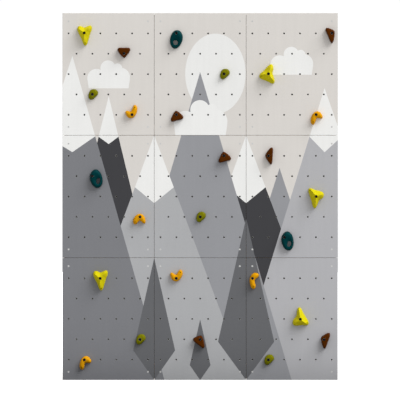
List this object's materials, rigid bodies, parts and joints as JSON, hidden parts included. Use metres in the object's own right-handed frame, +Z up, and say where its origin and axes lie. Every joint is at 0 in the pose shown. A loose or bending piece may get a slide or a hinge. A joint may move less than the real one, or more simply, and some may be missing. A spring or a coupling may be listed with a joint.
{
  "type": "rock climbing wall",
  "caption": "Upright drilled plywood climbing wall with painted mountain mural, threaded inserts, timber rails behind and bolt-on coloured holds that turn on their bolts.",
  "frame": {"origin": "centre of the back plane of the rails, the plane that meets the building's wall, at the centre of the fixing pattern", "axes": "+Z up, -Y out of the wall towards the climber, +X to the climber's right"},
  "size_m": [1.804, 0.1003, 2.404],
  "materials": {
    "painted_plywood": "birch plywood, matt paint on the front, bare edges and back",
    "rail_timber": "planed softwood",
    "zinc_plated_steel": "bright zinc plate",
    "black_steel": "black oxide",
    "white_screw": "white paint",
    "hold_yellow": "cast resin, fine grit",
    "hold_brown": "cast resin, fine grit",
    "hold_teal": "cast resin, fine grit",
    "hold_olive": "cast resin, fine grit",
    "hold_orange": "cast resin, fine grit"
  },
  "bodies": {
    "root": {"panel_top_left": "painted_plywood", "panel_top_centre": "painted_plywood", "panel_top_right": "painted_plywood", "panel_middle_left": "painted_plywood", "panel_middle_centre": "painted_plywood", "panel_middle_right": "painted_plywood", "panel_bottom_left": "painted_plywood", "panel_bottom_centre": "painted_plywood", "panel_bottom_right": "painted_plywood", "inserts_top_left": "zinc_plated_steel", "inserts_top_centre": "zinc_plated_steel", "inserts_top_right": "zinc_plated_steel", "inserts_middle_left": "zinc_plated_steel", "inserts_middle_centre": "zinc_plated_steel", "inserts_middle_right": "zinc_plated_steel", "inserts_bottom_left": "zinc_plated_steel", "inserts_bottom_centre": "zinc_plated_steel", "inserts_bottom_right": "zinc_plated_steel", "rail_top": "rail_timber", "rail_upper": "rail_timber", "rail_lower": "rail_timber", "rail_bottom": "rail_timber", "panel_screws": "white_screw", "hold_bolts": "black_steel", "hold_washers": "zinc_plated_steel"},
    "hold_star_1": {"hold_star_1": "hold_yellow"},
    "hold_star_2": {"hold_star_2": "hold_yellow"},
    "hold_star_3": {"hold_star_3": "hold_yellow"},
    "hold_star_4": {"hold_star_4": "hold_yellow"},
    "hold_star_5": {"hold_star_5": "hold_yellow"},
    "hold_wedge_1": {"hold_wedge_1": "hold_brown"},
    "hold_wedge_2": {"hold_wedge_2": "hold_brown"},
    "hold_wedge_3": {"hold_wedge_3": "hold_brown"},
    "hold_wedge_4": {"hold_wedge_4": "hold_brown"},
    "hold_wedge_5": {"hold_wedge_5": "hold_brown"},
    "hold_wedge_6": {"hold_wedge_6": "hold_brown"},
    "hold_wedge_7": {"hold_wedge_7": "hold_brown"},
    "hold_pocket_1": {"hold_pocket_1": "hold_teal"},
    "hold_pocket_2": {"hold_pocket_2": "hold_teal"},
    "hold_pocket_3": {"hold_pocket_3": "hold_teal"},
    "hold_crimp_1": {"hold_crimp_1": "hold_olive"},
    "hold_crimp_2": {"hold_crimp_2": "hold_olive"},
    "hold_crimp_3": {"hold_crimp_3": "hold_olive"},
    "hold_crimp_4": {"hold_crimp_4": "hold_olive"},
    "hold_crimp_5": {"hold_crimp_5": "hold_olive"},
    "hold_crescent_1": {"hold_crescent_1": "hold_orange"},
    "hold_crescent_2": {"hold_crescent_2": "hold_orange"},
    "hold_crescent_3": {"hold_crescent_3": "hold_orange"},
    "hold_crescent_4": {"hold_crescent_4": "hold_orange"},
    "hold_crescent_5": {"hold_crescent_5": "hold_orange"},
    "hold_crescent_6": {"hold_crescent_6": "hold_orange"}
  },
  "joints": [
    {"name": "hold_star_1_turn", "type": "hinge", "parent": "root", "child": "hold_star_1", "pos_m": [-0.758, -0.045, 1.06867], "axis": [0, -1, 0], "continuous": true},
    {"name": "hold_star_2_turn", "type": "hinge", "parent": "root", "child": "hold_star_2", "pos_m": [0.446, -0.045, 0.802], "axis": [0, -1, 0], "continuous": true},
    {"name": "hold_star_3_turn", "type": "hinge", "parent": "root", "child": "hold_star_3", "pos_m": [0.758, -0.045, 0], "axis": [0, -1, 0], "continuous": true},
    {"name": "hold_star_4_turn", "type": "hinge", "parent": "root", "child": "hold_star_4", "pos_m": [-0.654, -0.045, -0.53533], "axis": [0, -1, 0], "continuous": true},
    {"name": "hold_star_5_turn", "type": "hinge", "parent": "root", "child": "hold_star_5", "pos_m": [0.654, -0.045, -0.802], "axis": [0, -1, 0], "continuous": true},
    {"name": "hold_wedge_1_turn", "type": "hinge", "parent": "root", "child": "hold_wedge_1", "pos_m": [-0.498, -0.045, 0.93533], "axis": [0, -1, 0], "continuous": true},
    {"name": "hold_wedge_2_turn", "type": "hinge", "parent": "root", "child": "hold_wedge_2", "pos_m": [0.862, -0.045, 1.06867], "axis": [0, -1, 0], "continuous": true},
    {"name": "hold_wedge_3_turn", "type": "hinge", "parent": "root", "child": "hold_wedge_3", "pos_m": [-0.156, -0.045, 0.53533], "axis": [0, -1, 0], "continuous": true},
    {"name": "hold_wedge_4_turn", "type": "hinge", "parent": "root", "child": "hold_wedge_4", "pos_m": [0.156, -0.045, 0.26667], "axis": [0, -1, 0], "continuous": true},
    {"name": "hold_wedge_5_turn", "type": "hinge", "parent": "root", "child": "hold_wedge_5", "pos_m": [0.446, -0.045, 0.26667], "axis": [0, -1, 0], "continuous": true},
    {"name": "hold_wedge_6_turn", "type": "hinge", "parent": "root", "child": "hold_wedge_6", "pos_m": [0, -0.045, -0.93533], "axis": [0, -1, 0], "continuous": true},
    {"name": "hold_wedge_7_turn", "type": "hinge", "parent": "root", "child": "hold_wedge_7", "pos_m": [0.81, -0.045, -0.93533], "axis": [0, -1, 0], "continuous": true},
    {"name": "hold_pocket_1_turn", "type": "hinge", "parent": "root", "child": "hold_pocket_1", "pos_m": [-0.156, -0.045, 1.06867], "axis": [0, -1, 0], "continuous": true},
    {"name": "hold_pocket_2_turn", "type": "hinge", "parent": "root", "child": "hold_pocket_2", "pos_m": [-0.706, -0.045, 0.13333], "axis": [0, -1, 0], "continuous": true},
    {"name": "hold_pocket_3_turn", "type": "hinge", "parent": "root", "child": "hold_pocket_3", "pos_m": [0.55, -0.045, -0.26667], "axis": [0, -1, 0], "continuous": true},
    {"name": "hold_crimp_1_turn", "type": "hinge", "parent": "root", "child": "hold_crimp_1", "pos_m": [0.156, -0.045, 0.802], "axis": [0, -1, 0], "continuous": true},
    {"name": "hold_crimp_2_turn", "type": "hinge", "parent": "root", "child": "hold_crimp_2", "pos_m": [-0.706, -0.045, 0.66867], "axis": [0, -1, 0], "continuous": true},
    {"name": "hold_crimp_3_turn", "type": "hinge", "parent": "root", "child": "hold_crimp_3", "pos_m": [0, -0.045, -0.13333], "axis": [0, -1, 0], "continuous": true},
    {"name": "hold_crimp_4_turn", "type": "hinge", "parent": "root", "child": "hold_crimp_4", "pos_m": [-0.394, -0.045, -0.93533], "axis": [0, -1, 0], "continuous": true},
    {"name": "hold_crimp_5_turn", "type": "hinge", "parent": "root", "child": "hold_crimp_5", "pos_m": [0.446, -0.045, -1.06867], "axis": [0, -1, 0], "continuous": true},
    {"name": "hold_crescent_1_turn", "type": "hinge", "parent": "root", "child": "hold_crescent_1", "pos_m": [-0.446, -0.045, 0.53533], "axis": [0, -1, 0], "continuous": true},
    {"name": "hold_crescent_2_turn", "type": "hinge", "parent": "root", "child": "hold_crescent_2", "pos_m": [0.758, -0.045, 0.53533], "axis": [0, -1, 0], "continuous": true},
    {"name": "hold_crescent_3_turn", "type": "hinge", "parent": "root", "child": "hold_crescent_3", "pos_m": [-0.394, -0.045, -0.13333], "axis": [0, -1, 0], "continuous": true},
    {"name": "hold_crescent_4_turn", "type": "hinge", "parent": "root", "child": "hold_crescent_4", "pos_m": [-0.156, -0.045, -0.53533], "axis": [0, -1, 0], "continuous": true},
    {"name": "hold_crescent_5_turn", "type": "hinge", "parent": "root", "child": "hold_crescent_5", "pos_m": [0.342, -0.045, -0.53533], "axis": [0, -1, 0], "continuous": true},
    {"name": "hold_crescent_6_turn", "type": "hinge", "parent": "root", "child": "hold_crescent_6", "pos_m": [-0.758, -0.045, -1.06867], "axis": [0, -1, 0], "continuous": true}
  ]
}
